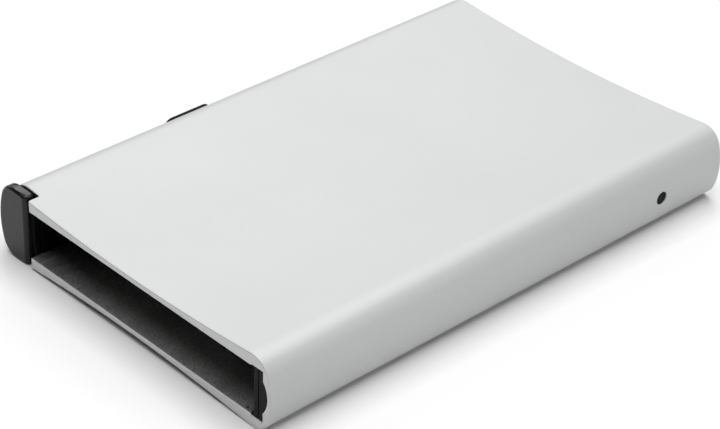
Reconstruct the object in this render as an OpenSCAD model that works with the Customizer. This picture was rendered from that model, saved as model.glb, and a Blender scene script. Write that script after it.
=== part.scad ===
// Slide-out card case: an extruded, dished metal tube with a side slider
// that pushes a stepped ejector, so that the cards fan out of the mouth.
// Millimetres. The case lies flat: X across, Y along (mouth towards -Y), Z up.

/* [Case tube] */
// Width of the tube across its two rounded edges
case_w = 66; // [65.8:0.1:66.6]
// Length of the tube
case_l = 102; // [101:0.5:106]
// Thickness over the four shoulders
case_t = 13.3; // [13.2:0.05:13.5]
// Radius of the shallow dish along each broad face
dish_r = 310; // [290:5:330]
// How far each broad face dips at its middle
dish_depth = 1.3; // [1.2:0.05:1.35]
// Radius of the bulged edge
edge_r = 13.5; // [12:0.5:16]
// Radius between the bulged edge and the broad face
corner_r = 3.6; // [3.2:0.1:3.8]

/* [Card pocket] */
// Clear height between floor and ceiling
pocket_h = 8.9; // [8.6:0.1:9.0]
// Clear width between the two side linings, for a 53.98 mm card
pocket_w = 54.4; // [54.2:0.1:54.6]
// Depth of the two side grooves beyond the pocket height, each way
groove_step = 0.2; // [0.1:0.05:0.3]

/* [Slider] */
// Travel of the thumb knob towards the mouth
travel = 27; // [20:1:27]
// Knob centre from the mouth at rest
knob_y = 40; // [38:0.5:41]
// Knob length
knob_l = 9.6; // [8:0.1:11]
// Knob height
knob_h = 8; // [6.5:0.5:8]
// How far the knob stands out of the edge
knob_proud = 2.0; // [1.6:0.1:2.4]
// Height of the thumb slot through the edge
slot_h = 4.6; // [4.4:0.1:5]

/* [Ejector] */
// Number of card steps
steps = 6; // [4:1:7]
// Depth of one step
step_d = 1.7; // [1.2:0.1:1.7]

/* [Corner cap and pegs] */
// Width of the corner cap with its inner flange
cap_w = 7.15; // [7.05:0.05:7.4]
// Width of the cap's block, which leaves a shadow gap beside the notch
cap_block = 6.45; // [6:0.05:6.6]
// How far the cap stands out of the bulged edge; its front is flush with the mouth
cap_out = 1.0; // [0.4:0.05:1.4]
// How far the cap sits back into the tube
cap_seat = 2.3; // [2:0.05:2.5]
// Radius of the cap's two shoulders
cap_corner_r = 3.3; // [2.8:0.1:3.8]
// Rounding of the cap's front along the bulged edge
cap_round_side = 0.8; // [0.4:0.1:1.2]
// Rounding of the cap's front towards the pocket
cap_round_in = 0.5; // [0.3:0.1:0.8]
// Rounding of the cap's front along its two broad faces
cap_round_face = 0.45; // [0.2:0.05:0.7]
// Radius of the round hole for each retaining peg
peg_hole_r = 1.2; // [1.18:0.02:1.3]
// Height of the pegs from the middle of the thickness
peg_z = -0.3; // [-0.4:0.05:0]
// Distance of the pegs from the closed end
peg_from_end = 14.9; // [14:0.1:15.2]

/* [Hidden] */
$fn = 96;

hw = case_w / 2;                     // half width
zs = case_t / 2;                     // shoulder height from the middle
h0 = zs - dish_depth;                // half thickness at the middle
cap_gap = 0.45;                      // shadow gap between the cap and the notch
ph = pocket_h / 2;                   // half pocket height
gh = ph + groove_step;               // half groove height
gx = hw - 1.8;                       // side groove wall
rib_r = 4.7;                         // radius of the D groove
rib_x = gx + 1.0 - rib_r;            // its centre
lx = hw - 4.0;                       // inner face of the right liner
rx = lx - pocket_w;                  // inner face of the left rail (negative)
cl = 0.1;                            // assembly clearance
capx = -hw + cap_w + 0.15;           // edge of the corner notch
peg_y = case_l - peg_from_end;
rail_end = case_l - 18.4;            // far end of the rail and the liner
plug_y = case_l - 2.4;               // front face of the end plug
chx0 = -hw + 2.8;                    // slider channel, outer wall
chx1 = rx - 0.8;                     // slider channel, inner wall
chh = 3.65;                          // slider channel, half height
ej_w0 = rx + 0.3;
ej_w1 = lx - 0.6;
ej_back = plug_y - 0.65;
ej_front = ej_back - 2.0 - (steps - 1) * step_d;
ej_h = ph - 0.15;
lug_y0 = ej_back - 9.4;
strip_x = -28.15;

// the row frame: middle of the overall footprint, on the rest plane
module place() translate([knob_proud / 2, -case_l / 2, zs]) children();
// extrude an X-Z outline along Y, and a Y-Z outline along X
module along_y(y0, y1) translate([0, y1, 0]) rotate([90, 0, 0]) linear_extrude(height = y1 - y0) children();
module along_x(x0, x1) translate([x0, 0, 0]) rotate([90, 0, 90]) linear_extrude(height = x1 - x0) children();
module box(x0, x1, y0, y1, z0, z1) translate([x0, y0, z0]) cube([x1 - x0, y1 - y0, z1 - z0]);
module rod_x(x0, x1, y, z, r) translate([x0, y, z]) rotate([0, 90, 0]) cylinder(h = x1 - x0, r = r);
module sq(x0, x1, z0, z1) translate([x0, z0]) square([x1 - x0, z1 - z0]);
// rounded rectangle from squares and circles only
module rrect(w, h, r) {
    square([w - 2 * r, h], center = true);
    square([w, h - 2 * r], center = true);
    for (i = [-1, 1], j = [-1, 1]) translate([i * (w / 2 - r), j * (h / 2 - r)]) circle(r);
}

// ---- outline of the tube ----
// cr is the radius of the shoulders between the broad faces and the bulged edges,
// out is how far the edges stand out of the tube's own
module outer_outline(cr = corner_r, out = 0) {
    re = edge_r + out;
    sx = hw - edge_r + sqrt(pow(re - cr, 2) - pow(zs - cr, 2));
    sz = (zs - cr) * re / (re - cr);
    difference() {
        union() {
            sq(-sx, sx, -zs, zs);
            for (i = [-1, 1]) {
                for (j = [-1, 1]) translate([i * sx, j * (zs - cr)]) circle(cr);
                intersection() {
                    translate([i * (hw - edge_r), 0]) circle(re, $fn = 360);
                    translate([i * (sx + 5), 0]) square([10, 2 * sz], center = true);
                }
            }
        }
        for (j = [-1, 1]) translate([0, j * (h0 + dish_r)]) circle(dish_r, $fn = 1440);
    }
}
// D-shaped rib or groove on one side, i = 1 right, -1 left
module d_rib(i, c) {
    intersection() {
        translate([i * rib_x, 0]) circle(rib_r - c);
        sq(i > 0 ? gx - 0.6 : -gx - 2, i > 0 ? gx + 2 : -gx + 0.6, -rib_r, rib_r);
    }
}
module inner_outline() {
    sq(-gx, gx, -ph, ph);
    sq(lx - 0.5, gx, -gh, gh);
    sq(-gx, rx, -gh, gh);
    d_rib(1, 0);
    d_rib(-1, 0);
}

module case_tube() {
    color("#d9dadb") place() difference() {
        along_y(0, case_l) difference() { outer_outline(); inner_outline(); }
        // notch for the corner cap
        box(-hw - 2, capx, -1, cap_seat, -zs - 1, zs + 1);
        // thumb slot, open to the notch
        box(-hw - 2, -gx + 2, 0.5, knob_y + 1.7, -slot_h / 2, slot_h / 2);
        rod_x(-hw - 2, -gx + 2, knob_y + 1.7, 0, slot_h / 2);
        // peg holes
        rod_x(hw - 4, hw + 2, peg_y, peg_z, peg_hole_r);
        rod_x(-hw - 2, -hw + 4, peg_y, peg_z, peg_hole_r);
    }
}

module right_side_liner() {
    color("#1d1d1e") place() difference() {
        union() {
            along_y(0.1, rail_end) {
                sq(lx, gx - cl, -gh + cl, gh - cl);
                d_rib(1, cl);
            }
            // small feet along the floor and the ceiling
            box(lx - 0.4, lx + 0.1, 0.1, rail_end, -gh + cl, -ph + 0.3);
            box(lx - 0.4, lx + 0.1, 0.1, rail_end, ph - 0.1, gh - cl);
        }
        // seat of the card edge spring
        box(lx - 1, lx + 0.9, 19, 61, -2.2, 2.2);
        // moulding line down the front face
        box(gx - 0.72, gx - 0.6, 0, 0.3, -gh, gh);
    }
}

module channel_outline() {
    difference() {
        union() {
            sq(-gx + cl, rx - 0.05, -gh + cl, gh - cl);
            d_rib(-1, cl);
        }
        sq(chx0, chx1, -chh, chh);
    }
}
module left_guide_rail() {
    color("#1a1a1b") place() difference() {
        along_y(cap_seat + 0.1, rail_end) channel_outline();
        // thumb slot
        box(-hw - 1, chx0 + 0.3, 0, knob_y + 1.7, -slot_h / 2 + 0.15, slot_h / 2 - 0.15);
        rod_x(-hw - 1, chx0 + 0.3, knob_y + 1.7, 0, slot_h / 2 - 0.15);
        // way for the ejector's tongue
        box(chx1 - 0.3, rx + 1, lug_y0 - travel - 1.5, case_l, -1.6, 1.6);
    }
}

// plan of the cap, front corners rounded
module cap_plan() {
    rs = cap_round_side;
    ri = cap_round_in;
    x0 = -hw - cap_out;
    x1 = -hw + cap_block;
    translate([x0 + rs, 0]) square([x1 - x0 - rs - ri, 12]);
    translate([x0, rs]) square([rs, 12 - rs]);
    translate([x1 - ri, ri]) square([ri, 12 - ri]);
    translate([x0 + rs, rs]) circle(rs);
    translate([x1 - ri, ri]) circle(ri);
}
// the cap seen from the side, front edges rounded
module cap_profile() {
    rf = cap_round_face;
    translate([0, -zs + rf]) square([12, 2 * zs - 2 * rf]);
    translate([rf, -zs]) square([12, 2 * zs]);
    for (j = [-1, 1]) translate([rf, j * (zs - rf)]) circle(rf);
}
module mouth_corner_cap() {
    color("#3c3c3d") place() union() {
        intersection() {
            along_y(0, cap_seat - cap_gap) intersection() {
                outer_outline(cap_corner_r, cap_out);
                sq(-hw - 2, -hw + cap_block, -zs - 1, zs + 1);
            }
            // roundings towards the edge and the pocket, seen from above
            translate([0, 0, -zs - 1]) linear_extrude(height = 2 * zs + 2) cap_plan();
            // roundings along the lower and the upper face, seen from the side
            along_x(-hw - cap_out - 1, -hw + cap_w + 1) cap_profile();
        }
        // web beside the block and behind it, set in all round
        box(-hw + 0.8, -hw + cap_w, 1.2, cap_seat - 0.3, -5.5, 5.5);
        // flange against the back of the notch
        along_y(cap_seat - 0.31, cap_seat - 0.04) intersection() {
            outer_outline(corner_r, -0.3);
            sq(-hw - 1, -hw + cap_w, -zs + 0.25, zs - 0.25);
        }
        // tenon in the rail's channel
        box(chx0 + 0.05, chx1 - 0.05, cap_seat - 0.5, cap_seat + 3.6, -chh + 0.05, chh - 0.05);
    }
}

module neck_outline() {
    for (k = [-0.6, 0.6]) translate([knob_y + k, 0]) circle(slot_h / 2 - 0.3);
    translate([knob_y, 0]) square([1.2, slot_h - 0.6], center = true);
}
module slide_carriage() {
    color("#252526") place() difference() {
        union() {
            box(chx0 + 0.1, chx1 - 0.1, knob_y - 5, knob_y + 7, -chh + 0.15, chh - 0.15);
            along_x(-hw + 0.1, chx0 + 0.2) neck_outline();
        }
        // seat of the drag spring
        box(chx0 + 0.7, chx1 - 0.7, knob_y - 4.2, knob_y + 6.2, chh - 0.75, chh + 1);
        // slot of the drive strip
        box(strip_x - 0.27, strip_x + 0.27, knob_y - 4, knob_y + 8, -2.65, 2.65);
        // screw hole and counterbore
        rod_x(-hw - 1, chx1 + 1, knob_y, 0, 0.86);
        rod_x(-27.62, chx1 + 1, knob_y, 0, 1.5);
    }
}

module thumb_knob() {
    color("#1b1b1c") place() difference() {
        intersection() {
            // end tapers, seen from above
            translate([0, knob_y, -knob_h]) linear_extrude(height = 2 * knob_h)
                polygon([[-hw + 2, -knob_l / 2], [-hw - 0.2, -knob_l / 2],
                         [-hw - knob_proud * 0.5, -knob_l / 2 + 0.15], [-hw - knob_proud * 0.82, -knob_l / 2 + 0.8],
                         [-hw - knob_proud, -knob_l / 2 + 1.9], [-hw - knob_proud, knob_l / 2 - 1.9],
                         [-hw - knob_proud * 0.82, knob_l / 2 - 0.8], [-hw - knob_proud * 0.5, knob_l / 2 - 0.15],
                         [-hw - 0.2, knob_l / 2], [-hw + 2, knob_l / 2]]);
            // outer face follows the edge
            along_y(knob_y - knob_l, knob_y + knob_l)
                translate([-hw + edge_r, 0]) circle(edge_r + knob_proud, $fn = 360);
            // rounded outline, seen from the side
            along_x(-hw - 4, -hw + 2) translate([knob_y, 0]) rrect(knob_l, knob_h, 1.6);
        }
        // inner face follows the edge with a running gap
        along_y(knob_y - knob_l, knob_y + knob_l)
            translate([-hw + edge_r, 0]) circle(edge_r + 0.12, $fn = 360);
        // shallow thumb hollow
        translate([-hw - knob_proud - 7.75, knob_y, 0]) sphere(8, $fn = 160);
        // blind screw hole
        rod_x(-hw - knob_proud + 0.55, -hw + 2, knob_y, 0, 0.83);
    }
}

module knob_screw() {
    color("#b8babd") place() union() {
        rod_x(-hw - knob_proud + 0.65, -27.6, knob_y, 0, 0.8);
        difference() {
            rod_x(-27.6, -26.75, knob_y, 0, 1.4);
            box(-27.1, -26, knob_y - 1.1, knob_y + 1.1, -0.17, 0.17);
            box(-27.1, -26, knob_y - 0.17, knob_y + 0.17, -1.1, 1.1);
        }
    }
}

module drive_strip() {
    color("#c3c6c9") place() difference() {
        box(strip_x - 0.2, strip_x + 0.2, knob_y - 3.6, ej_back - 1.4, -2.5, 2.5);
        rod_x(strip_x - 1, strip_x + 1, knob_y, 0, 0.9);
        rod_x(strip_x - 1, strip_x + 1, ej_back - 4.8, 0, 1.05);
    }
}

module strip_rivet() {
    color("#c9ccd0") place() union() {
        rod_x(-29.3, -26.95, ej_back - 4.8, 0, 1.0);
        rod_x(-29.8, -29.2, ej_back - 4.8, 0, 1.8);
    }
}

// bowed leaf on the carriage, a true arc in section
module drag_spring() {
    sr = 28;
    color("#d2d5d8") place() along_x(chx0 + 0.95, chx1 - 0.95) intersection() {
        difference() {
            translate([knob_y + 1, chh - 0.06 - sr]) circle(sr, $fn = 720);
            translate([knob_y + 1, chh - 0.06 - sr]) circle(sr - 0.16, $fn = 720);
        }
        translate([knob_y - 3.7, chh - 0.7]) square([9.4, 2]);
    }
}

module stepped_ejector() {
    color("#2a2a2b") place() difference() {
        union() {
            // staircase across the pocket, lowest step nearest the mouth
            along_x(ej_w0, ej_w1) polygon(concat(
                [[ej_back, ej_h], [ej_back, -ej_h]],
                [for (i = [0:steps - 1], k = [0, 1])
                    [ej_front + i * step_d, -ej_h + (i + k) * 2 * ej_h / steps]]));
            // tongue through the rail, and the lug in the channel
            box(chx1 - 0.2, ej_w0 + 0.2, lug_y0, ej_back, -1.4, 1.4);
            box(-29.2, chx1 - 0.12, lug_y0, ej_back, -chh + 0.2, chh - 0.2);
        }
        // slot for the drive strip, rivet hole
        box(strip_x - 0.27, strip_x + 0.27, lug_y0 - 1, ej_back - 1.2, -2.6, 2.6);
        rod_x(-30, -26.9, ej_back - 4.8, 0, 1.04);
        // coring pockets from the back
        for (i = [-2:2]) translate([i * 9.6 + (ej_w0 + ej_w1) / 2, 0, 0])
            box(-3.9, 3.9, ej_front + 5.4, ej_back + 1, -ej_h + 1.1, -ej_h + 1.1 + 1.5 * 2 * ej_h / steps);
    }
}

module end_plug() {
    color("#202021") place() union() {
        along_y(plug_y, case_l - 0.3) {
            sq(rx, lx - 0.3, -ph + cl, ph - cl);
            sq(lx - 0.4, gx - cl, -gh + cl, gh - cl);
            sq(-gx + cl, rx - 0.05 + 0.2, -ph + cl, ph - cl);
            sq(-gx + cl, rx - 0.05, -gh + cl, gh - cl);
            d_rib(1, cl);
            d_rib(-1, cl);
        }
        // right arm
        difference() {
            along_y(rail_end + 0.15, plug_y + 0.2) {
                sq(lx, gx - cl, -gh + cl, gh - cl);
                d_rib(1, cl);
            }
            rod_x(lx + 0.4, hw + 1, peg_y, peg_z, 1.18);
        }
        // left arm, which carries the slider channel on to the end
        difference() {
            along_y(rail_end + 0.15, plug_y + 0.2) channel_outline();
            box(chx1 - 0.3, rx + 1, 0, case_l, -1.6, 1.6);
            rod_x(-hw - 1, -hw + 2.35, peg_y, peg_z, 1.18);
        }
    }
}

module end_bumper() {
    color("#3a3b3d") place() box(ej_w0 + 1.5, ej_w1 - 1.5, plug_y - 0.55, plug_y, -3, 3);
}

module retaining_pegs() {
    color("#161617") place() {
        rod_x(lx + 0.45, hw - 0.2, peg_y, peg_z, 1.14);
        rod_x(-hw + 0.2, -hw + 2.3, peg_y, peg_z, 1.14);
    }
}

// bowed leaf in the right liner, a true arc seen from above
module card_edge_spring() {
    sr = 200;
    color("#cfd2d6") place() translate([0, 0, -1.9]) linear_extrude(height = 3.8) intersection() {
        difference() {
            translate([lx - 0.4 + sr, 40]) circle(sr, $fn = 1440);
            translate([lx - 0.4 + sr, 40]) circle(sr - 0.2, $fn = 1440);
        }
        translate([lx - 1, 24.2]) square([1.8, 31.6]);
    }
}

module pad(z0) {
    color("#2b2b2d") place() translate([1.8, 35, z0]) linear_extrude(height = 0.45) rrect(40, 42, 2.5);
}
module floor_pad() pad(-ph);
module ceiling_pad() pad(ph - 0.45);

case_tube();
right_side_liner();
left_guide_rail();
mouth_corner_cap();
slide_carriage();
thumb_knob();
knob_screw();
drive_strip();
strip_rivet();
drag_spring();
stepped_ejector();
end_plug();
end_bumper();
retaining_pegs();
card_edge_spring();
floor_pad();
ceiling_pad();
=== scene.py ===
import math

import bmesh
import bpy
from mathutils import Matrix, Vector, noise


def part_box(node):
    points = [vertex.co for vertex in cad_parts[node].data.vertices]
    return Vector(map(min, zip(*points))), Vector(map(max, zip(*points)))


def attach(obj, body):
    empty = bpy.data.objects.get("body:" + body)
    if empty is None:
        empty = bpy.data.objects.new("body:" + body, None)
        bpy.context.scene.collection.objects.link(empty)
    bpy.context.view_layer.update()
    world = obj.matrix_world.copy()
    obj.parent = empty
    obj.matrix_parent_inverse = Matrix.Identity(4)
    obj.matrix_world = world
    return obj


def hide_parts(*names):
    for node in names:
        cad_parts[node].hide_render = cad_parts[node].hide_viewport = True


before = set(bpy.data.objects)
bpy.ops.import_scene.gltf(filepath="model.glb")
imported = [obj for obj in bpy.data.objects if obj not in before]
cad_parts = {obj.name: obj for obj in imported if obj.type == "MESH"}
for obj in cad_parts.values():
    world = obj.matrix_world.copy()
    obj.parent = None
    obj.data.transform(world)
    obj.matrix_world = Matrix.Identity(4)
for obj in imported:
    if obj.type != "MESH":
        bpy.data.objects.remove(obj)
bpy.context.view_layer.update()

# The looks of a slide-out card case: a bead-blasted anodised tube with a black
# plastic corner cap, thumb knob and linings. Shapes are built in millimetres in the
# tube's own coordinates (x 0 = middle, y 0 = mouth, z 0 = middle of the thickness)
# and moved to the row frame at the end.

scene = bpy.context.scene
_lo, _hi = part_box("case_tube")
ORIGIN = Vector(((_lo.x + _hi.x) / 2, _lo.y, (_lo.z + _hi.z) / 2))
TO_ROW = Matrix.Translation(ORIGIN) @ Matrix.Scale(0.001, 4)

# sizes that part.scad also uses, in mm
HW, LEN, ZS, H0 = 33.0, 102.0, 6.65, 5.35
DISH_R, EDGE_R, CORNER_R = 310.0, 13.5, 3.6
CX = HW - EDGE_R + math.sqrt((EDGE_R - CORNER_R) ** 2 - (ZS - CORNER_R) ** 2)
A_END = math.atan2((ZS - CORNER_R), CX - (HW - EDGE_R))  # corner arc meets edge arc
XD = math.sqrt(DISH_R ** 2 - (DISH_R - (ZS - H0)) ** 2)   # end of the dish
PH, GH, GX = 4.45, 4.65, 31.2
RIB_R, RIB_X = 4.7, 27.5
LX, RX = 29.0, -25.4
SEAT, CAP_OUT, CAP_GAP = 2.3, 1.0, 0.45
KNOB_Y, PEG_Y, PEG_Z, SLOT_R, SLOT_Y = 40.0, 87.0, -0.3, 2.3, 41.7
PLUG_Y, RAIL_END = 99.6, 83.6


# ---------------------------------------------------------------- mesh helpers
def make(name, verts, faces):
    me = bpy.data.meshes.new(name)
    me.from_pydata([tuple(v) for v in verts], [], [tuple(f) for f in faces])
    me.update()
    ob = bpy.data.objects.new(name, me)
    scene.collection.objects.link(ob)
    edit(ob, lambda bm: bmesh.ops.recalc_face_normals(bm, faces=bm.faces[:]))
    return ob


def edit(ob, fn):
    bm = bmesh.new()
    bm.from_mesh(ob.data)
    out = fn(bm)
    bm.to_mesh(ob.data)
    bm.free()
    ob.data.update()
    return out


def bake(ob):
    bpy.context.view_layer.update()
    dg = bpy.context.evaluated_depsgraph_get()
    me = bpy.data.meshes.new_from_object(ob.evaluated_get(dg))
    old = ob.data
    ob.modifiers.clear()
    ob.data = me
    bpy.data.meshes.remove(old)


def boolean(ob, tools, operation="DIFFERENCE"):
    for t in tools:
        m = ob.modifiers.new("cut", "BOOLEAN")
        m.operation, m.solver, m.object = operation, "EXACT", t
        bake(ob)
        bpy.data.objects.remove(t)


def prism(name, outline, axis, a, b):
    """Extrudes a 2-D outline. axis x: outline in (y, z); y: in (x, z); z: in (x, y)."""
    n = len(outline)
    put = {
        "x": lambda p, t: (t, p[0], p[1]),
        "y": lambda p, t: (p[0], t, p[1]),
        "z": lambda p, t: (p[0], p[1], t),
    }[axis]
    verts = [put(p, a) for p in outline] + [put(p, b) for p in outline]
    faces = [tuple(range(n)), tuple(range(n, 2 * n))]
    faces += [(i, (i + 1) % n, n + (i + 1) % n, n + i) for i in range(n)]
    return make(name, verts, faces)


def circle(cx, cy, r, n, a0=0.0):
    return [(cx + r * math.cos(a0 + 2 * math.pi * i / n), cy + r * math.sin(a0 + 2 * math.pi * i / n)) for i in range(n)]


def rounded(w, h, r, n=8, cx=0.0, cy=0.0):
    out = []
    for k, (sx, sy) in enumerate(((1, 1), (-1, 1), (-1, -1), (1, -1))):
        for i in range(n + 1):
            a = math.pi / 2 * (k + i / n)
            out.append((cx + sx * (w / 2 - r) + r * math.cos(a), cy + sy * (h / 2 - r) + r * math.sin(a)))
    return out


def mark(ob, choose):
    """Puts a bevel weight on the edges that choose(edge, angle) names."""

    def fn(bm):
        lay = bm.edges.layers.float.get("bevel_weight_edge") or bm.edges.layers.float.new("bevel_weight_edge")
        for e in bm.edges:
            ang = e.calc_face_angle(0.0) if len(e.link_faces) == 2 else 0.0
            e[lay] = choose(e, ang)

    edit(ob, fn)


def bevel(ob, width, segments=3, limit="WEIGHT", angle=30.0, profile=0.5, clamp=False):
    m = ob.modifiers.new("bevel", "BEVEL")
    m.width, m.segments, m.limit_method, m.profile = width, segments, limit, profile
    m.angle_limit = math.radians(angle)
    m.use_clamp_overlap = clamp
    m.offset_type = "OFFSET"
    return m


def smooth(ob, sharp=38.0, weighted=True):
    """Smooth shading with sharp edges by angle and weighted normals."""
    for p in ob.data.polygons:
        p.use_smooth = True

    def fn(bm):
        for e in bm.edges:
            e.smooth = not (len(e.link_faces) == 2 and e.calc_face_angle(0.0) > math.radians(sharp))

    edit(ob, fn)
    if weighted:
        m = ob.modifiers.new("normals", "WEIGHTED_NORMAL")
        m.mode, m.weight, m.keep_sharp = "FACE_AREA", 50, True


def clean(ob, dist=1e-4):
    def fn(bm):
        bmesh.ops.remove_doubles(bm, verts=bm.verts[:], dist=dist)
        bmesh.ops.dissolve_degenerate(bm, dist=dist, edges=bm.edges[:])
        bmesh.ops.recalc_face_normals(bm, faces=bm.faces[:])

    edit(ob, fn)


def finish_piece(ob, body, nodes, mats, sharp=38.0, weighted=True):
    """Moves a piece from tube millimetres to the row frame and hands it over."""
    ob.data.transform(TO_ROW)
    ob.data.update()
    if len(mats) == 1:
        ob.data.materials.clear()
        ob.data.materials.append(mats[0])
    smooth(ob, sharp, weighted)
    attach(ob, body)
    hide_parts(*nodes)
    return ob


# ------------------------------------------------------------------- materials
def material(name):
    m = bpy.data.materials.new(name)
    m.use_nodes = True
    nt = m.node_tree
    return m, nt, nt.nodes["Principled BSDF"]


def tex_noise(nt, scale, detail=2.0, rough=0.5, stretch=None, distortion=0.0):
    co = nt.nodes.new("ShaderNodeTexCoord")
    src = co.outputs["Object"]
    if stretch:
        mp = nt.nodes.new("ShaderNodeMapping")
        mp.inputs["Scale"].default_value = stretch
        nt.links.new(src, mp.inputs["Vector"])
        src = mp.outputs["Vector"]
    n = nt.nodes.new("ShaderNodeTexNoise")
    n.inputs["Scale"].default_value = scale
    n.inputs["Detail"].default_value = detail
    n.inputs["Roughness"].default_value = rough
    n.inputs["Distortion"].default_value = distortion
    nt.links.new(src, n.inputs["Vector"])
    return n.outputs["Fac"]


def ramp(nt, fac, lo, hi, a=0.3, b=0.7):
    r = nt.nodes.new("ShaderNodeMapRange")
    r.inputs["From Min"].default_value, r.inputs["From Max"].default_value = a, b
    r.inputs["To Min"].default_value, r.inputs["To Max"].default_value = lo, hi
    nt.links.new(fac, r.inputs["Value"])
    return r.outputs["Result"]


def mix_colour(nt, fac, a, b):
    m = nt.nodes.new("ShaderNodeMix")
    m.data_type = "RGBA"
    for key, v in ((6, a), (7, b)):
        if isinstance(v, (tuple, list)):
            m.inputs[key].default_value = (*v, 1.0)
        else:
            nt.links.new(v, m.inputs[key])
    if isinstance(fac, float):
        m.inputs[0].default_value = fac
    else:
        nt.links.new(fac, m.inputs[0])
    return m.outputs[2]


def bump(nt, heights, bsdf):
    """heights: (socket, strength, distance in metres), stacked."""
    last = None
    for h, strength, dist in heights:
        b = nt.nodes.new("ShaderNodeBump")
        b.inputs["Strength"].default_value = strength
        b.inputs["Distance"].default_value = dist
        nt.links.new(h, b.inputs["Height"])
        if last:
            nt.links.new(last, b.inputs["Normal"])
        last = b.outputs["Normal"]
    nt.links.new(last, bsdf.inputs["Normal"])


def aluminium(name, colour, rough, metallic, grain=0.22, dust=0.5):
    """Bead-blasted and anodised: fine matt pits, faint die lines along Y, broad cloudy variation."""
    m, nt, b = material(name)
    cloud = tex_noise(nt, 38.0, 3.0, 0.55)
    lines = tex_noise(nt, 900.0, 2.0, 0.5, stretch=(1.0, 0.006, 1.0))
    pits = tex_noise(nt, 5200.0, 3.0, 0.65)
    speck = tex_noise(nt, 1500.0, 2.0, 0.5)
    c = mix_colour(nt, ramp(nt, cloud, 0.0, 1.0, 0.35, 0.65),
                   tuple(k * 0.985 for k in colour), tuple(min(1.0, k * 1.012) for k in colour))
    c = mix_colour(nt, ramp(nt, pits, 0.0, 0.10, 0.35, 0.7), c, tuple(k * 0.8 for k in colour))
    c = mix_colour(nt, ramp(nt, speck, 0.0, 0.10 * dust, 0.62, 0.8), c, tuple(k * 0.7 for k in colour))
    nt.links.new(c, b.inputs["Base Color"])
    b.inputs["Metallic"].default_value = metallic
    nt.links.new(ramp(nt, pits, rough - 0.05, rough + 0.06), b.inputs["Roughness"])
    bump(nt, [(pits, grain, 0.00004), (lines, 0.05, 0.00002)], b)
    return m


def bore_metal_painted_shade(name):
    """The inside of the tube: drawn lines along Y, smoother, and darker; the darker colour is painted shade inside the
    bore.
    """
    m, nt, b = material(name)
    lines = tex_noise(nt, 1400.0, 3.0, 0.6, stretch=(1.0, 0.01, 1.0))
    fine = tex_noise(nt, 3800.0, 3.0, 0.7)
    c = mix_colour(nt, ramp(nt, fine, 0.0, 1.0, 0.35, 0.65), (0.28, 0.28, 0.278), (0.54, 0.54, 0.535))
    nt.links.new(c, b.inputs["Base Color"])
    b.inputs["Metallic"].default_value = 1.0
    nt.links.new(ramp(nt, lines, 0.42, 0.56), b.inputs["Roughness"])
    bump(nt, [(fine, 0.5, 0.00005), (lines, 0.15, 0.00003)], b)
    return m


def plastic(name, colour, rough, texture=0.2, scale=2600.0, spec=0.5, lift=1.45):
    """Injection-moulded, with a fine eroded texture and slightly greyed high spots."""
    m, nt, b = material(name)
    spark = tex_noise(nt, scale, 3.0, 0.6)
    soft = tex_noise(nt, 160.0, 3.0, 0.55)
    c = mix_colour(nt, ramp(nt, spark, 0.0, 1.0, 0.4, 0.7), tuple(k * 0.88 for k in colour), tuple(k * lift for k in colour))
    c = mix_colour(nt, ramp(nt, soft, 0.0, 0.35, 0.45, 0.75), c, tuple(k * 1.25 for k in colour))
    nt.links.new(c, b.inputs["Base Color"])
    nt.links.new(ramp(nt, soft, rough - 0.04, rough + 0.05), b.inputs["Roughness"])
    b.inputs["Specular IOR Level"].default_value = spec
    bump(nt, [(spark, texture, 0.00004)], b)
    return m


def steel(name, colour, rough, stretch, lines=0.25):
    m, nt, b = material(name)
    brushed = tex_noise(nt, 1600.0, 3.0, 0.6, stretch=stretch)
    stain = tex_noise(nt, 240.0, 3.0, 0.5)
    c = mix_colour(nt, ramp(nt, stain, 0.0, 1.0, 0.35, 0.7), colour, tuple(k * 0.82 for k in colour))
    nt.links.new(c, b.inputs["Base Color"])
    b.inputs["Metallic"].default_value = 1.0
    nt.links.new(ramp(nt, brushed, rough - 0.08, rough + 0.1), b.inputs["Roughness"])
    bump(nt, [(brushed, lines, 0.00003)], b)
    return m


def felt_material(name):
    m, nt, b = material(name)
    fibre = tex_noise(nt, 2600.0, 5.0, 0.7, stretch=(1.0, 0.35, 1.0), distortion=1.6)
    fibre2 = tex_noise(nt, 2100.0, 5.0, 0.7, stretch=(0.35, 1.0, 1.0), distortion=1.6)
    tuft = tex_noise(nt, 420.0, 3.0, 0.6)
    c = mix_colour(nt, ramp(nt, fibre, 0.0, 1.0, 0.38, 0.62), (0.012, 0.012, 0.013), (0.05, 0.05, 0.052))
    c = mix_colour(nt, ramp(nt, tuft, 0.0, 0.6, 0.4, 0.7), c, (0.022, 0.022, 0.024))
    nt.links.new(c, b.inputs["Base Color"])
    b.inputs["Roughness"].default_value = 0.95
    b.inputs["Sheen Weight"].default_value = 0.25
    b.inputs["Sheen Roughness"].default_value = 0.5
    b.inputs["Specular IOR Level"].default_value = 0.15
    bump(nt, [(fibre, 0.7, 0.00012), (fibre2, 0.6, 0.0001)], b)
    return m


def foam_material(name):
    m, nt, b = material(name)
    co = nt.nodes.new("ShaderNodeTexCoord")
    v = nt.nodes.new("ShaderNodeTexVoronoi")
    v.inputs["Scale"].default_value = 3200.0
    nt.links.new(co.outputs["Object"], v.inputs["Vector"])
    cell = v.outputs["Distance"]
    # the pores are darker towards their bottoms: painted shade in the pores
    c = mix_colour(nt, ramp(nt, cell, 0.0, 1.0, 0.1, 0.6), (0.012, 0.012, 0.013), (0.045, 0.045, 0.048))
    nt.links.new(c, b.inputs["Base Color"])
    b.inputs["Roughness"].default_value = 0.9
    b.inputs["Specular IOR Level"].default_value = 0.2
    bump(nt, [(cell, 0.8, 0.00018)], b)
    return m


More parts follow.
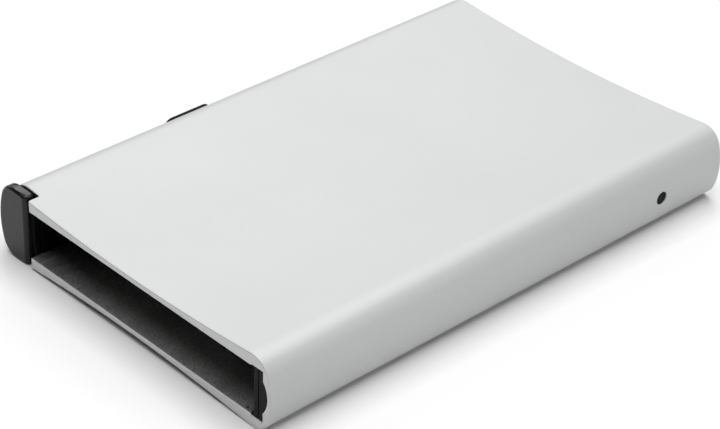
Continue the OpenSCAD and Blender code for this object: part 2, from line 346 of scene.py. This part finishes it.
ALU = aluminium("alu_blasted", (0.514, 0.519, 0.520), 0.6, 0.5)
# a darker copy of the aluminium for every bevel of the tube: painted shade on the edges
ALU_EDGE_PAINTED_SHADE = aluminium("alu_edge_painted_shade", (0.46, 0.465, 0.462), 0.62, 0.35, grain=0.1, dust=0.0)
# a lighter copy of the aluminium for the mouth's bevels round the right-hand bulge: painted light
ALU_SIDE_EDGE_PAINTED_LIGHT = aluminium("alu_side_edge_painted_light", (0.545, 0.55, 0.548), 0.55, 0.43, grain=0.1, dust=0.0)
# a much lighter copy of the aluminium for the mouth's inner bevels: a painted highlight along the lip
ALU_MOUTH_PAINTED_HIGHLIGHT = aluminium("alu_mouth_painted_highlight", (0.74, 0.745, 0.74), 0.42, 0.6, grain=0.1, dust=0.0)
# a lighter copy of the aluminium for the flat end faces: painted light
ALU_END_PAINTED_LIGHT = aluminium("alu_end_painted_light", (0.62, 0.625, 0.622), 0.5, 0.5, grain=0.16, dust=0.3)
# a darker metal for the inside of the tube: painted shade in the bore
BORE_PAINTED_SHADE = bore_metal_painted_shade("alu_bore_painted_shade")
CAP = plastic("cap_plastic", (0.005, 0.005, 0.0051), 0.21, 0.09, spec=0.30)
# a darker, duller copy of the cap plastic for the faces behind the block: painted shade
CAP_WEB_PAINTED_SHADE = plastic("cap_web_painted_shade", (0.003, 0.003, 0.0031), 0.6, 0.2, spec=0.05)
KNOB = plastic("knob_plastic", (0.0035, 0.0035, 0.0036), 0.5, 0.2, spec=0.08)
RAIL = plastic("rail_plastic", (0.004, 0.004, 0.0041), 0.6, 0.15, 3200.0, spec=0.04)
LINER = plastic("liner_plastic", (0.0065, 0.0065, 0.0066), 0.45, 0.15, 3200.0, spec=0.085)
PEG = plastic("peg_plastic", (0.004, 0.004, 0.004), 0.5, 0.1, spec=0.09)
EJECT = plastic("ejector_plastic", (0.024, 0.024, 0.0245), 0.4, 0.15, 2400.0)
STRIP = steel("strip_steel", (0.56, 0.57, 0.58), 0.3, (1.0, 0.02, 1.0))
SPRING = steel("spring_steel", (0.50, 0.51, 0.53), 0.28, (1.0, 1.0, 0.03))
NICKEL = steel("nickel", (0.66, 0.64, 0.60), 0.25, (1.0, 1.0, 1.0), 0.12)
FELT = felt_material("felt")
FOAM = foam_material("foam")


# ------------------------------------------------------------- tube's outlines
def dish(x):
    return H0 + DISH_R - math.sqrt(DISH_R ** 2 - min(abs(x), XD) ** 2)


def corner_arc(n):
    out = []
    for i in range(1, n + 1):
        a = math.pi / 2 + (A_END - math.pi / 2) * i / n
        out.append((CX + CORNER_R * math.cos(a), ZS - CORNER_R + CORNER_R * math.sin(a)))
    return out


def edge_arc(n):
    return [(HW - EDGE_R + EDGE_R * math.cos(A_END * (1 - i / n)), EDGE_R * math.sin(A_END * (1 - i / n))) for i in range(1, n + 1)]


def lerp_points(a, b, n):
    return [(a[0] + (b[0] - a[0]) * i / n, a[1] + (b[1] - a[1]) * i / n) for i in range(1, n + 1)]


NC, NE = 16, 8


def outer_quarter(cols):
    return [(x, dish(x)) for x in cols] + [(XD, ZS), (CX, ZS)] + corner_arc(NC) + edge_arc(NE)


def inner_quarter(cols, step_x):
    # cols pair with the dish columns; the last one is the step itself
    q = [(x, PH) for x in cols[:-1]] + [(step_x, PH), (step_x, GH)]
    base = q[-1]
    n_top = 10
    mid = (GX, GH)
    low = (GX, math.sqrt(RIB_R ** 2 - (GX - RIB_X) ** 2))
    n_total = len(cols) + 2 + NC + NE
    a0 = math.asin(low[1] / RIB_R)
    left = n_total - len(q) - n_top
    n_side = 7
    n_rib = left - n_side
    q += lerp_points(base, mid, n_top) + lerp_points(mid, low, n_side)
    q += [(RIB_X + RIB_R * math.cos(a0 * (1 - i / n_rib)), RIB_R * math.sin(a0 * (1 - i / n_rib))) for i in range(1, n_rib + 1)]
    assert len(q) == n_total, (len(q), n_total)
    return q


def whole(right, left):
    tr = list(right)
    br = [(x, -z) for x, z in right[::-1]][1:]
    bl = [(-x, -z) for x, z in left][1:]
    tl = [(-x, z) for x, z in left[::-1]][1:-1]
    return tr + br + bl + tl


# ------------------------------------------------------------------ case tube
def build_tube():
    rc = [0, 4, 8, 12, 16, 20, 24, 26.6, 28.0]
    lc = [0, 4, 8, 12, 16, 20, 22.8, 24.6, 26.6]
    outer = whole(outer_quarter(rc), outer_quarter(lc))
    inner = whole(inner_quarter(rc, 28.5), inner_quarter(lc[:-1] + [25.5], 25.5))
    n = len(outer)
    verts = []
    for y in (0.0, LEN):
        verts += [(x, y, z) for x, z in outer]
    for y in (0.0, LEN):
        verts += [(x, y, z) for x, z in inner]
    o0, o1, i0, i1 = 0, n, 2 * n, 3 * n
    faces = []
    for k in range(n):
        j = (k + 1) % n
        faces.append((o0 + k, o0 + j, o1 + j, o1 + k))
        faces.append((i0 + k, i1 + k, i1 + j, i0 + j))
        faces.append((o0 + k, i0 + k, i0 + j, o0 + j))
        faces.append((o1 + k, o1 + j, i1 + j, i1 + k))
    tube = make("tube", verts, faces)

    x0, r, ri = -25.70, 0.45, 0.25
    out = [(-36.0, -2.0), (x0 + r, -2.0), (x0 + r, -0.004)]
    for t in (13, 26, 39, 52, 65, 78, 90):
        a = math.radians(t)
        out.append((x0 + r - r * math.sin(a), r - r * math.cos(a)))
    for t in (0, 22.5, 45, 67.5, 90):
        a = math.radians(t)
        out.append((x0 - ri + ri * math.cos(a), SEAT - ri + ri * math.sin(a)))
    out.append((-36.0, SEAT))
    notch = prism("notch", out, "z", -9.0, 9.0)
    slot = [(0.5, -SLOT_R), (SLOT_Y, -SLOT_R)]
    slot += [(SLOT_Y + SLOT_R * math.sin(math.pi * i / 24), -SLOT_R * math.cos(math.pi * i / 24)) for i in range(1, 24)]
    slot += [(SLOT_Y, SLOT_R), (0.5, SLOT_R)]
    slot = prism("slot", slot, "x", -36.0, -29.4)
    hole_r = prism("hole_r", circle(PEG_Y, PEG_Z, 1.2, 48), "x", 29.4, 36.0)
    hole_l = prism("hole_l", circle(PEG_Y, PEG_Z, 1.2, 48), "x", -36.0, -29.4)
    pit = prism("pit", circle(27.11, 0.74, 0.22, 16), "z", -5.5, -4.2)
    boolean(tube, [notch, slot, hole_r, hole_l, pit])
    clean(tube, 1e-4)

    inner_corners = [(sx * GX, sz * GH) for sx in (1, -1) for sz in (1, -1)]
    inner_corners += [(sx * GX, sz * math.sqrt(RIB_R ** 2 - (GX - RIB_X) ** 2)) for sx in (1, -1) for sz in (1, -1)]
    inner_corners += [(28.5, s * z) for s in (1, -1) for z in (PH, GH)]
    inner_corners += [(-25.5, s * z) for s in (1, -1) for z in (PH, GH)]

    def choose(e, ang):
        if ang < math.radians(27):
            return 0.0
        a, b = e.verts[0].co, e.verts[1].co
        d = (b - a).normalized()
        if abs(d.y) > 0.999:
            for x, z in inner_corners:
                if abs(a.x - x) < 0.02 and abs(a.z - z) < 0.02:
                    return 0.0
        if abs(a.x) > 31.0 and all(abs(math.hypot(q.y - PEG_Y, q.z - PEG_Z) - 1.2) < 0.01 for q in (a, b)):
            return 0.4
        if abs(a.x - 27.11) < 0.5 and a.z < -4.3 and a.y < 1.2 and a.y > 0.3:
            return 0.0
        return 1.0

    mark(tube, choose)
    m = bevel(tube, 0.14, 3)
    # the bevel faces take the darker edge copy of the aluminium: painted shade along the edges
    m.material = 2
    tube.data.materials.clear()
    for mt in (ALU, BORE_PAINTED_SHADE, ALU_EDGE_PAINTED_SHADE, ALU_END_PAINTED_LIGHT, ALU_MOUTH_PAINTED_HIGHLIGHT, PEG, ALU_SIDE_EDGE_PAINTED_LIGHT):
        tube.data.materials.append(mt)
    bake(tube)
    # material by place: the bore, the cut ends, and everything else
    for p in tube.data.polygons:
        c, nrm = p.center, p.normal
        if p.material_index == 2:
            # the mouth's inner bevels take the much lighter copy: a painted highlight along the inner lip
            if c.y < 0.16 and abs(c.z) < 4.75:
                p.material_index = 4
            # the mouth's bevels round the right-hand bulge take the lighter copy: painted light there
            if c.y < 0.16 and math.hypot(c.x - (HW - EDGE_R), c.z) > EDGE_R - 0.3 and c.x > 31.0:
                p.material_index = 6
            continue
        if math.hypot(c.x - 27.11, c.y - 0.74) < 0.235 and c.z < -4.5:
            p.material_index = 5  # the small pit in the floor by the right foot takes the black peg plastic: painted shade in the pit
            continue
        # faces turned along Y take the lighter end copy of the aluminium: painted light on the flat ends
        flat_end = abs(nrm.y) > 0.9
        inside = abs(c.x) < GX + 1.06 and abs(c.z) < GH + 0.02 and not flat_end
        # the bore's faces take the darker bore metal: painted shade inside the tube
        if inside and abs(c.x) < 31.9 or (inside and abs(c.z) < 2.9 and abs(c.x) < RIB_X + RIB_R + 0.001 and abs(nrm.z) < 0.75 and (nrm.x * c.x) < 0):
            p.material_index = 1
        elif flat_end:
            p.material_index = 3
        else:
            p.material_index = 0
    return finish_piece(tube, "case", ["case_tube"], [ALU, BORE_PAINTED_SHADE, ALU_EDGE_PAINTED_SHADE, ALU_END_PAINTED_LIGHT, ALU_MOUTH_PAINTED_HIGHLIGHT, PEG, ALU_SIDE_EDGE_PAINTED_LIGHT])


# ---------------------------------------------------------------- corner cap
def build_cap():
    """Corner cap: flush with the mouth, standing out of the bulged edge, rounded all
    round its front, with a shadow gap behind it."""
    xi, cr, rc, r_in = -26.55, 3.3, 0.4, 0.85
    r_top, r_side, r_low, ease = 0.45, 0.8, 0.65, 0.26
    back, front, edge = SEAT - CAP_GAP, 0.0, EDGE_R + CAP_OUT

    def half(sgn, inset):
        """Half an outline from the pocket side to the middle of the edge; inset is
        (pocket side, face, edge), zero for the outer outline."""
        di, df, ds = inset
        k = cr if not ds else cr - 0.5 * (df + ds)
        kc = rc if not ds else 0.3
        zt, re = ZS - df, edge - ds
        ccx = HW - EDGE_R + math.sqrt((re - k) ** 2 - (zt - k) ** 2)
        end = math.atan2(zt - k, ccx - (HW - EDGE_R))
        pts = []
        xs = -xi + di + kc
        for i in range(8):
            a = math.pi / 2 * i / 7
            pts.append((xs - kc * math.cos(a), dish(xs) - df - kc + kc * math.sin(a)))
        for i in range(1, 7):
            x = xs + (ccx - xs) * i / 6
            pts.append((x, dish(x) - df))
        for i in range(1, 19):
            a = math.pi / 2 + (end - math.pi / 2) * i / 18
            pts.append((ccx + k * math.cos(a), zt - k + k * math.sin(a)))
        for i in range(1, 9):
            a = end * (1 - i / 8)
            pts.append((HW - EDGE_R + re * math.cos(a), re * math.sin(a)))
        return [(-x, sgn * z) for x, z in pts]

    outer = half(1, (0, 0, 0)) + half(-1, (0, 0, 0))[:-1][::-1]
    inner = half(1, (r_in, r_top, r_side)) + half(-1, (r_in, r_low, r_side))[:-1][::-1]
    rings = []

    def ring(t, y_of):
        out = []
        for (px, pz), (qx, qz) in zip(outer, inner):
            d = math.hypot(qx - px, qz - pz)
            f, y = y_of(d, t)
            out.append((px + (qx - px) * f, y, pz + (qz - pz) * f))
        return out

    for i in range(6):
        rings.append(ring(math.pi / 2 * (1 - i / 5), lambda d, a: (ease / d * (1 - math.cos(a)), back - ease * (1 - math.sin(a)))))
    rings.append(ring(0, lambda d, a: (0.0, 0.5 * (back - ease + front + d))))
    for i in range(0, 17):
        rings.append(ring(math.pi / 2 * i / 16, lambda d, a: (1 - math.cos(a), front + d * (1 - math.sin(a)))))
    m = len(rings[0])
    verts = [v for r in rings for v in r]
    faces = [tuple(range(m)), tuple(range(len(verts) - m, len(verts)))]
    for r in range(len(rings) - 1):
        for k in range(m):
            j = (k + 1) % m
            faces.append((r * m + k, r * m + j, (r + 1) * m + j, (r + 1) * m + k))
    cap = make("corner_cap", verts, faces)
    # tenon in the rail's channel
    tenon = prism("tenon", rounded(3.9, 7.2, 0.3, 4, cx=-28.2), "y", SEAT - 0.5, SEAT + 3.6)
    mark(tenon, lambda e, ang: 1.0 if ang > math.radians(60) and min(v.co.y for v in e.verts) > 5.0 else 0.0)
    bevel(tenon, 0.25, 2)
    bake(tenon)
    # flange behind and beside the block, set in all round
    flange = prism("flange", rounded(6.35, 11.0, 0.5, 5, cx=-29.025), "y", 1.2, SEAT - 0.3)
    # black flange against the back of the notch, a little below the tube's skin
    def web(x_in):
        re, k = EDGE_R - 0.3, CORNER_R
        ccx = HW - EDGE_R + math.sqrt((re - k) ** 2 - (ZS - k) ** 2)
        end = math.atan2(ZS - k, ccx - (HW - EDGE_R))
        top = [(-x_in, ZS - 0.25)]
        a0 = math.acos(1 - 0.25 / k)
        top += [(ccx + k * math.sin(a0 + (math.pi / 2 - end - a0) * i / 10), ZS - k + k * math.cos(a0 + (math.pi / 2 - end - a0) * i / 10)) for i in range(11)]
        top += [(HW - EDGE_R + re * math.cos(end * (1 - i / 6)), re * math.sin(end * (1 - i / 6))) for i in range(1, 7)]
        top = [(-x, z) for x, z in top]
        return top + [(x, -z) for x, z in top[:-1][::-1]]

    back_web = prism("back_web", web(-25.87), "y", SEAT - 0.33, SEAT - 0.04)
    for v in back_web.data.vertices:  # its front edges are chamfered all round
        if v.co.y < SEAT - 0.2:
            v.co.z *= 0.953
            v.co.x = -29.0 + (v.co.x + 29.0) * 0.93 if v.co.x < -29.0 else v.co.x
    boolean(cap, [tenon, flange, back_web], "UNION")
    # fine line across the top
    boolean(cap, [prism("cap_line", [(-30.26, 6.75), (-30.13, 6.53), (-30.0, 6.75)], "y", 0.1, 3.0)])
    clean(cap, 1e-4)
    cap.data.materials.clear()
    for mt in (CAP, CAP_WEB_PAINTED_SHADE):
        cap.data.materials.append(mt)
    for p in cap.data.polygons:  # the flange and the web behind the block take a darker, duller copy of the cap plastic: painted shade
        p.material_index = 1 if p.center.y > SEAT - CAP_GAP + 0.01 else 0
    return finish_piece(cap, "case", ["mouth_corner_cap"], [CAP, CAP_WEB_PAINTED_SHADE], sharp=40)


# ---------------------------------------------------------------- thumb knob
def build_knob():
    w, h, rc, shift = 9.9, 8.0, 1.6, 0.15
    cx, r_in, r_out, fil = -(HW - EDGE_R), EDGE_R + 0.12, EDGE_R + 2.0, 0.2

    def dense(pts):
        """Points along the straight sides too, so that they follow the bulged edge."""
        out = []
        for k in range(4):
            out += pts[k * 11:(k + 1) * 11]
            out += lerp_points(pts[k * 11 + 10], pts[(k + 1) * 11 % 44], 8)[:-1]
        return out

    def inset(d):
        return dense(rounded(w - 2 * d, h - 2 * d, max(rc - d, 0.12), 10))

    base = inset(0.0)

    def x_at(radius, z):
        return cx - math.sqrt(radius ** 2 - z ** 2)

    def hollow(y, z):
        d = 8.0 ** 2 - y * y - z * z
        depth = 0.0
        if d > 0:
            depth = max(0.0, math.sqrt(d) - 7.75)
        soft = min(1.0, depth / 0.1)
        ridge = 0.0
        if abs(y) < 2.2 and abs(z) < 2.6:
            fade = min(1.0, (2.6 - abs(z)) / 0.7) * min(1.0, (2.2 - abs(y)) / 0.25)
            ridge = 0.115 * fade * max(0.0, math.cos(2 * math.pi * y / 0.95)) ** 1.5
        return -1.15 * depth * soft + ridge * soft

    rings = []  # lists of (x, y, z)
    # underside, from the middle outwards
    nu = 8
    for i in range(nu, 0, -1):
        t = i / nu
        rings.append([(x_at(r_in, z * (1 - t)), min(max(y, -0.8), 0.8) * t + y * (1 - t), z * (1 - t)) for y, z in inset(0.15)])
    rings.append([(x_at(r_in, z), y, z) for y, z in inset(0.15)])
    rings.append([(x_at(r_in + 0.06, z), y, z) for y, z in inset(0.03)])
    rings.append([(x_at(r_in + 0.15, z), y, z) for y, z in base])
    for i in range(1, 4):
        rr = r_in + 0.15 + (r_out - fil - r_in - 0.15) * i / 3
        rings.append([(x_at(rr, z), y, z) for y, z in base])
    nf = 9
    for i in range(1, nf + 1):
        a = math.pi / 2 * i / nf
        d = fil * (1 - math.cos(a))
        rr = r_out - fil + fil * math.sin(a)
        rings.append([(x_at(rr, z), y, z) for y, z in inset(d)])
    top = inset(fil)
    nt = 26
    for i in range(1, nt + 1):
        t = i / nt
        ring = []
        for y, z in top:
            py = y * (1 - t) + min(max(y, -0.8), 0.8) * t
            pz = z * (1 - t)
            ring.append((x_at(r_out, pz) - hollow(py, pz), py, pz))
        rings.append(ring)
    m = len(base)
    verts = [(x, KNOB_Y + shift + y, z) for ring in rings for x, y, z in ring]
    faces = []
    for r in range(len(rings) - 1):
        for k in range(m):
            j = (k + 1) % m
            faces.append((r * m + k, r * m + j, (r + 1) * m + j, (r + 1) * m + k))
    knob = make("knob", verts, faces)
    clean(knob, 2e-4)
    edit(knob, lambda bm: bmesh.ops.holes_fill(bm, edges=bm.edges[:], sides=0))
    edit(knob, lambda bm: bmesh.ops.recalc_face_normals(bm, faces=bm.faces[:]))
    return finish_piece(knob, "slider", ["thumb_knob"], [KNOB], sharp=60, weighted=False)


# --------------------------------------------------------------- right liner
def build_liner():
    g, p, cl = GH - 0.1, PH, 0.1
    rr = RIB_R - cl
    top = math.sqrt(rr ** 2 - (GX - cl - RIB_X) ** 2)
    a0 = math.asin(top / rr)
    out = [(LX - 0.4, -g), (GX - cl, -g), (GX - cl, -top)]
    out += [(RIB_X + rr * math.cos(a0 * (-1 + 2 * i / 18)), rr * math.sin(a0 * (-1 + 2 * i / 18))) for i in range(1, 18)]
    out += [(GX - cl, top), (GX - cl, g), (LX - 0.4, g), (LX - 0.4, g - 0.2), (LX, g - 0.2), (LX, -g + 0.4), (LX - 0.4, -g + 0.4)]
    liner = prism("liner", out, "y", 0.1, RAIL_END)
    seat = prism("seat", rounded(42.0, 4.4, 0.5, 5, cx=40.0), "x", LX - 1.0, LX + 0.9)
    line = prism("line", [(30.12, -9.0), (30.28, -9.0), (30.28, 9.0), (30.12, 9.0)], "y", -0.5, 0.36)
    boolean(liner, [seat, line])
    clean(liner, 1e-4)

    def choose(e, ang):
        a, b = e.verts[0].co, e.verts[1].co
        if ang < math.radians(30):
            return 0.0
        front = a.y < 0.11 and b.y < 0.11
        d = (b - a).normalized()
        if front and abs(a.x - LX) < 0.01 and abs(b.x - LX) < 0.01:
            return 0.5
        if front and abs(a.x - 30.2) < 0.1 and abs(b.x - 30.2) < 0.1:
            return 0.1
        if front:
            return 0.12
        if abs(d.y) > 0.99 and abs(a.x - LX) < 0.02 and abs(a.z) > 3.5:
            return 0.1
        if abs(a.x - LX) < 0.01 and abs(b.x - LX) < 0.01:
            return 0.25
        return 0.0

    mark(liner, choose)
    bevel(liner, 0.62, 4)
    bake(liner)
    clean(liner, 1e-4)
    return finish_piece(liner, "case", ["right_side_liner"], [LINER], sharp=40)


# ------------------------------------------------------------- retaining pegs
def build_pegs():
    """Two pegs in one piece, each with a domed end and a fine ring round a sink mark."""
    verts, faces = [], []
    for sgn, x_in in ((1, LX + 0.45), (-1, HW - 2.3)):
        prof = [(x_in, 0.0), (x_in, 0.9), (x_in + 0.25, 1.14), (HW - 0.27, 1.14), (HW - 0.17, 1.09), (HW - 0.14, 0.98),
                (HW - 0.14, 0.84), (HW - 0.20, 0.79), (HW - 0.20, 0.73), (HW - 0.15, 0.68), (HW - 0.15, 0.4), (HW - 0.16, 0.2), (HW - 0.16, 0.0)]
        n = 40
        base = len(verts)
        idx = []
        for x, r in prof:
            if r == 0.0:
                idx.append([len(verts)])
                verts.append((sgn * x, PEG_Y, PEG_Z))
            else:
                idx.append([len(verts) + i for i in range(n)])
                verts += [(sgn * x, PEG_Y + r * math.cos(2 * math.pi * i / n), PEG_Z + r * math.sin(2 * math.pi * i / n)) for i in range(n)]
        for a, b in zip(idx, idx[1:]):
            for i in range(n):
                j = (i + 1) % n
                if len(a) == 1:
                    faces.append((a[0], b[i], b[j]))
                elif len(b) == 1:
                    faces.append((a[i], b[0], a[j]))
                else:
                    faces.append((a[i], b[i], b[j], a[j]))
    pegs = make("pegs", verts, faces)
    return finish_piece(pegs, "case", ["retaining_pegs"], [PEG], sharp=32, weighted=False)


# ------------------------------------------------------------------ end plug
def build_plug():
    """Flush plug behind the ejector: full outline, a shallow panel, and two arms."""
    cl = 0.1
    rr = RIB_R - cl
    top = math.sqrt(rr ** 2 - (GX - cl - RIB_X) ** 2)
    a0 = math.asin(top / rr)
    ribs = [(RIB_X + rr * math.cos(a0 * (1 - 2 * i / 16)), rr * math.sin(a0 * (1 - 2 * i / 16))) for i in range(1, 16)]
    g, p, gx = GH - cl, PH - cl, GX - cl
    right = [(LX - 0.4, p), (LX - 0.4, g), (gx, g), (gx, top)] + ribs + [(gx, -top), (gx, -g), (LX - 0.4, -g), (LX - 0.4, -p)]
    left = [(RX - 0.05, -p), (RX - 0.05, -g), (-gx, -g), (-gx, -top)] + [(-x, -z) for x, z in ribs] + [(-gx, top), (-gx, g), (RX - 0.05, g), (RX - 0.05, p)]
    plug = prism("plug", right + left, "y", PLUG_Y, LEN - 0.3)
    panel = prism("panel", rounded(50.0, 6.2, 1.6, 8, cx=1.5), "y", LEN - 0.55, LEN + 1.0)
    boolean(plug, [panel])
    clean(plug)
    mark(plug, lambda e, ang: (1.0 if ang > math.radians(30) and min(v.co.y for v in e.verts) > LEN - 0.6 else 0.0))
    bevel(plug, 0.13, 2)
    bake(plug)
    # right arm
    sec = [(LX, g), (gx, g), (gx, top)] + ribs + [(gx, -top), (gx, -g), (LX, -g)]
    arm_r = prism("arm_r", sec, "y", RAIL_END + 0.15, PLUG_Y + 0.2)
    bore = prism("bore", circle(PEG_Y, PEG_Z, 1.18, 32), "x", LX + 0.4, 35.0)
    boolean(arm_r, [bore])
    # left arm with the slider channel
    sec = [(RX - 0.05, g), (-gx, g), (-gx, top)] + [(-x, z) for x, z in ribs] + [(-gx, -top), (-gx, -g), (RX - 0.05, -g)]
    arm_l = prism("arm_l", sec, "y", RAIL_END + 0.15, PLUG_Y + 0.2)
    chan = prism("chan", [(-30.2, -3.65), (-26.2, -3.65), (-26.2, 3.65), (-30.2, 3.65)], "y", 80.0, PLUG_Y - 0.001)
    way = prism("way", [(-26.5, -1.6), (-24.0, -1.6), (-24.0, 1.6), (-26.5, 1.6)], "y", 80.0, PLUG_Y - 0.001)
    bore = prism("bore", circle(PEG_Y, PEG_Z, 1.18, 32), "x", -35.0, -30.65)
    boolean(arm_l, [chan, way, bore])
    boolean(plug, [arm_r, arm_l], "UNION")
    clean(plug)
    return finish_piece(plug, "case", ["end_plug"], [LINER], sharp=35)


# ------------------------------------------------------------ felt and foam
def build_pad(name, node, z0, up):
    """A die-cut felt pad: rounded corners, softened rim, slightly uneven pile."""
    w, l, t, r = 40.0, 42.0, 0.45, 2.5
    cx, cy = 1.8, 35.0
    rings = []
    for d, z in ((0.0, 0.0), (0.0, 0.18), (0.05, 0.32), (0.16, 0.41), (0.34, t)):
        rings.append([(x, y, z) for x, y in rounded(w - 2 * d, l - 2 * d, r - d, 6, cx, cy)])
    m = len(rings[0])
    verts = [v for ring in rings for v in ring]
    faces = [tuple(range(m))]
    for k in range(len(rings) - 1):
        for i in range(m):
            j = (i + 1) % m
            faces.append((k * m + i, k * m + j, (k + 1) * m + j, (k + 1) * m + i))
    faces.append(tuple(range(len(verts) - m, len(verts))))
    pad = make(name, verts, faces)

    def fn(bm):
        # cut the top into a grid so that the pile can be uneven
        for i in range(1, 34):
            x = cx - w / 2 + w * i / 34
            bmesh.ops.bisect_plane(bm, geom=bm.verts[:] + bm.edges[:] + bm.faces[:], plane_co=(x, 0, 0), plane_no=(1, 0, 0))
        for i in range(1, 36):
            y = cy - l / 2 + l * i / 36
            bmesh.ops.bisect_plane(bm, geom=bm.verts[:] + bm.edges[:] + bm.faces[:], plane_co=(0, y, 0), plane_no=(0, 1, 0))
        for v in bm.verts:
            if v.co.z > 0.1:
                v.co.z -= 0.05 * (0.5 + 0.5 * noise.noise(v.co * 0.9)) + 0.03 * (0.5 + 0.5 * noise.noise(v.co * 3.1))
        for v in bm.verts:
            v.co.z = z0 + (v.co.z if up else -v.co.z)
        bmesh.ops.recalc_face_normals(bm, faces=bm.faces[:])

    edit(pad, fn)
    finish_piece(pad, "case", [node], [FELT], sharp=50, weighted=False)
    return pad


def build_bumper():
    lo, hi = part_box("end_bumper")
    c, s = (lo + hi) / 2, (hi - lo)
    nx, nz = 60, 8
    verts, faces = [], []
    x0, x1, y0, y1, hz = -23.6, 26.9, 99.05, 99.6, 3.0
    sec = rounded(y1 - y0, 2 * hz, 0.2, 4, cx=(y0 + y1) / 2)
    bumper = prism("bumper", sec, "x", x0, x1)

    def fn(bm):
        for i in range(1, nx):
            x = x0 + (x1 - x0) * i / nx
            bmesh.ops.bisect_plane(bm, geom=bm.verts[:] + bm.edges[:] + bm.faces[:], plane_co=(x, 0, 0), plane_no=(1, 0, 0))
        for i in range(1, nz):
            z = -hz + 2 * hz * i / nz
            bmesh.ops.bisect_plane(bm, geom=bm.verts[:] + bm.edges[:] + bm.faces[:], plane_co=(0, 0, z), plane_no=(0, 0, 1))
        for v in bm.verts:
            if v.co.y < (y0 + y1) / 2:
                v.co.y += 0.05 * (0.5 + 0.5 * noise.noise(v.co * 0.8))
        bmesh.ops.recalc_face_normals(bm, faces=bm.faces[:])

    edit(bumper, fn)
    finish_piece(bumper, "case", ["end_bumper"], [FOAM], sharp=50, weighted=False)
    return bumper


TUBE = build_tube()
CAP_OB = build_cap()
KNOB_OB = build_knob()
LINER_OB = build_liner()
PEGS_OB = build_pegs()
PLUG_OB = build_plug()
build_pad("felt_floor", "floor_pad", -PH, True)
build_pad("felt_ceiling", "ceiling_pad", PH, False)
build_bumper()

# ------------------------------------------------- CAD nodes kept as they are
KEPT = {
    "left_guide_rail": (RAIL, 0.10, 2),
    "slide_carriage": (LINER, 0.12, 3),
    "knob_screw": (NICKEL, 0.08, 2),
    "drive_strip": (STRIP, 0.05, 2),
    "strip_rivet": (NICKEL, 0.12, 3),
    "drag_spring": (SPRING, 0.03, 2),
    "stepped_ejector": (EJECT, 0.14, 3),
    "card_edge_spring": (SPRING, 0.04, 2),
}
for name, (mat, width, seg) in KEPT.items():
    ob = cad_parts[name]
    ob.data.materials.clear()
    ob.data.materials.append(mat)
    for p in ob.data.polygons:
        p.use_smooth = True
    w = ob.modifiers.new("weld", "WELD")
    w.merge_threshold = 1e-6
    b = ob.modifiers.new("bevel", "BEVEL")
    b.width, b.segments, b.limit_method = width * 0.001, seg, "ANGLE"
    b.angle_limit = math.radians(38)
    b.use_clamp_overlap = True
    n = ob.modifiers.new("normals", "WEIGHTED_NORMAL")
    n.mode, n.weight, n.keep_sharp = "FACE_AREA", 50, True

# ------------------------------------------------------------ floor and light
bpy.ops.mesh.primitive_plane_add(size=1, location=(0, 0, 0))
floor = bpy.context.object
floor.name = "floor"
floor.scale = (6, 6, 1)
fm, fnt, fb = material("floor_paper")
fn_ = tex_noise(fnt, 3.0, 2.0)
fnt.links.new(mix_colour(fnt, ramp(fnt, fn_, 0.0, 1.0), (0.732, 0.732, 0.732), (0.742, 0.742, 0.742)), fb.inputs["Base Color"])
fb.inputs["Roughness"].default_value = 0.9
fb.inputs["Specular IOR Level"].default_value = 0.1
floor.data.materials.append(fm)


def area(name, loc, target, sx, sy, watts, colour=(1, 1, 1)):
    d = bpy.data.lights.new(name, "AREA")
    d.shape, d.size, d.size_y, d.energy, d.color = "RECTANGLE", sx, sy, watts, colour
    o = bpy.data.objects.new(name, d)
    o.location = loc
    o.rotation_euler = (Vector(target) - Vector(loc)).to_track_quat("-Z", "Y").to_euler()
    scene.collection.objects.link(o)
    return o


area("overhead", (0, 0, 1.4), (0, 0, 0), 1.5, 1.5, 30.2)
area("back_left", (-0.962, 0.866, 0.94), (0, 0, 0), 0.80, 0.60, 5.4)
area("right", (1.26, 0.48, 0.55), (0, 0, 0), 1.5, 0.8, 6.1)
area("left", (-1.35, 0, 0.55), (0, 0, 0), 1.5, 0.8, 3.2)

world = bpy.data.worlds.new("studio")
world.use_nodes = True
bg = world.node_tree.nodes["Background"]
bg.inputs["Color"].default_value = (1.0, 1.0, 1.0, 1.0)
bg.inputs["Strength"].default_value = 0.02
scene.world = world
scene.view_settings.view_transform = "Standard"
scene.view_settings.look = "None"

# --------------------------------------------------------------------- camera
az, el, roll = map(math.radians, (45.75707, 32.884996, 2.170458))
TX, TY, DIST, LENS = -2.732, 1.885, 401.5622, 121.61883
back = Vector((math.sin(az) * math.cos(el), -math.cos(az) * math.cos(el), math.sin(el)))
right = Vector((math.cos(az), math.sin(az), 0.0))
up = back.cross(right)
right2 = right * math.cos(roll) + up * math.sin(roll)
up2 = up * math.cos(roll) - right * math.sin(roll)
eye = Vector((0.0, 45.0, 0.0)) - TX * right2 - TY * up2 + DIST * back
cam_data = bpy.data.cameras.new("camera")
cam_data.sensor_fit, cam_data.sensor_width, cam_data.lens = "HORIZONTAL", 36.0, LENS
cam_data.clip_start, cam_data.clip_end = 0.02, 20.0
camera = bpy.data.objects.new("camera", cam_data)
m4 = Matrix((
    (right2.x, up2.x, back.x, 0.0),
    (right2.y, up2.y, back.y, 0.0),
    (right2.z, up2.z, back.z, 0.0),
    (0.0, 0.0, 0.0, 1.0),
))
camera.matrix_world = Matrix.Translation(TO_ROW @ eye) @ m4
scene.collection.objects.link(camera)
scene.camera = camera

bpy.context.view_layer.update()
